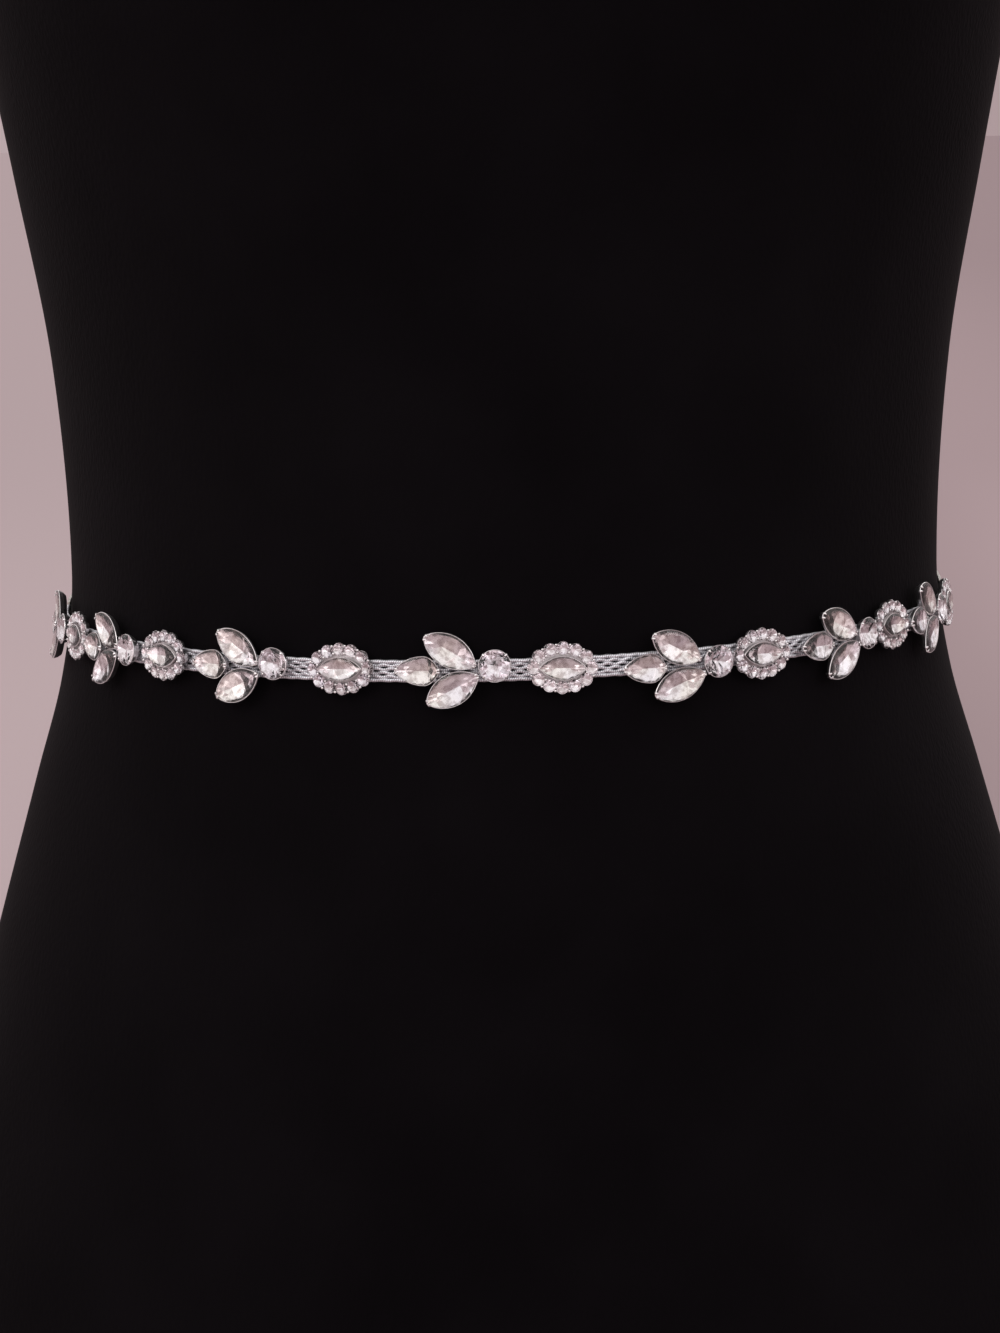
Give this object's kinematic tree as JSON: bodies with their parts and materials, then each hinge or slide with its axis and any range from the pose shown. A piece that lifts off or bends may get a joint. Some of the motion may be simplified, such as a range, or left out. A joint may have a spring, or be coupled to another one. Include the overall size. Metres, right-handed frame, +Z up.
{
  "type": "bridal sash on a dress form",
  "caption": "Slim bridal sash of rhinestone sprays and rosettes on silver braid, tied at the back with satin ribbon round the waist of a limbless black dress form.",
  "frame": {"origin": "centre of the part's footprint box on the surface that the dress form stands on", "axes": "+Z up, -Y the front of the form, +X to the viewer's right when the front is faced"},
  "size_m": [0.344, 0.2616, 0.742],
  "materials": {
    "jersey": "matt black stretch jersey",
    "braid": "flat plait of silver metallic thread",
    "crystal": "foil-backed clear cut glass in silver settings",
    "small_stones": "small clear stones in bright silver cups",
    "satin": "ivory satin ribbon with a soft sheen"
  },
  "bodies": {
    "root": {"dress_form": "jersey", "braid": "braid", "spray_1_leaf_upper": "crystal", "spray_1_leaf_lower": "crystal", "spray_1_leaf_tail": "crystal", "spray_1_round": "crystal", "spray_2_leaf_upper": "crystal", "spray_2_leaf_lower": "crystal", "spray_2_leaf_tail": "crystal", "spray_2_round": "crystal", "spray_3_leaf_upper": "crystal", "spray_3_leaf_lower": "crystal", "spray_3_leaf_tail": "crystal", "spray_3_round": "crystal", "spray_4_leaf_upper": "crystal", "spray_4_leaf_lower": "crystal", "spray_4_leaf_tail": "crystal", "spray_4_round": "crystal", "spray_5_leaf_upper": "crystal", "spray_5_leaf_lower": "crystal", "spray_5_leaf_tail": "crystal", "spray_5_round": "crystal", "spray_6_leaf_upper": "crystal", "spray_6_leaf_lower": "crystal", "spray_6_leaf_tail": "crystal", "spray_6_round": "crystal", "spray_7_leaf_upper": "crystal", "spray_7_leaf_lower": "crystal", "spray_7_leaf_tail": "crystal", "spray_7_round": "crystal", "rosette_1_ring": "small_stones", "rosette_1_centre": "crystal", "rosette_2_ring": "small_stones", "rosette_2_centre": "crystal", "rosette_3_ring": "small_stones", "rosette_3_centre": "crystal", "rosette_4_ring": "small_stones", "rosette_4_centre": "crystal", "rosette_5_ring": "small_stones", "rosette_5_centre": "crystal", "rosette_6_ring": "small_stones", "rosette_6_centre": "crystal", "rosette_7_ring": "small_stones", "rosette_7_centre": "crystal", "ribbon_left": "satin", "ribbon_right": "satin", "knot": "satin", "tail_left": "satin", "tail_right": "satin"}
  },
  "joints": []
}
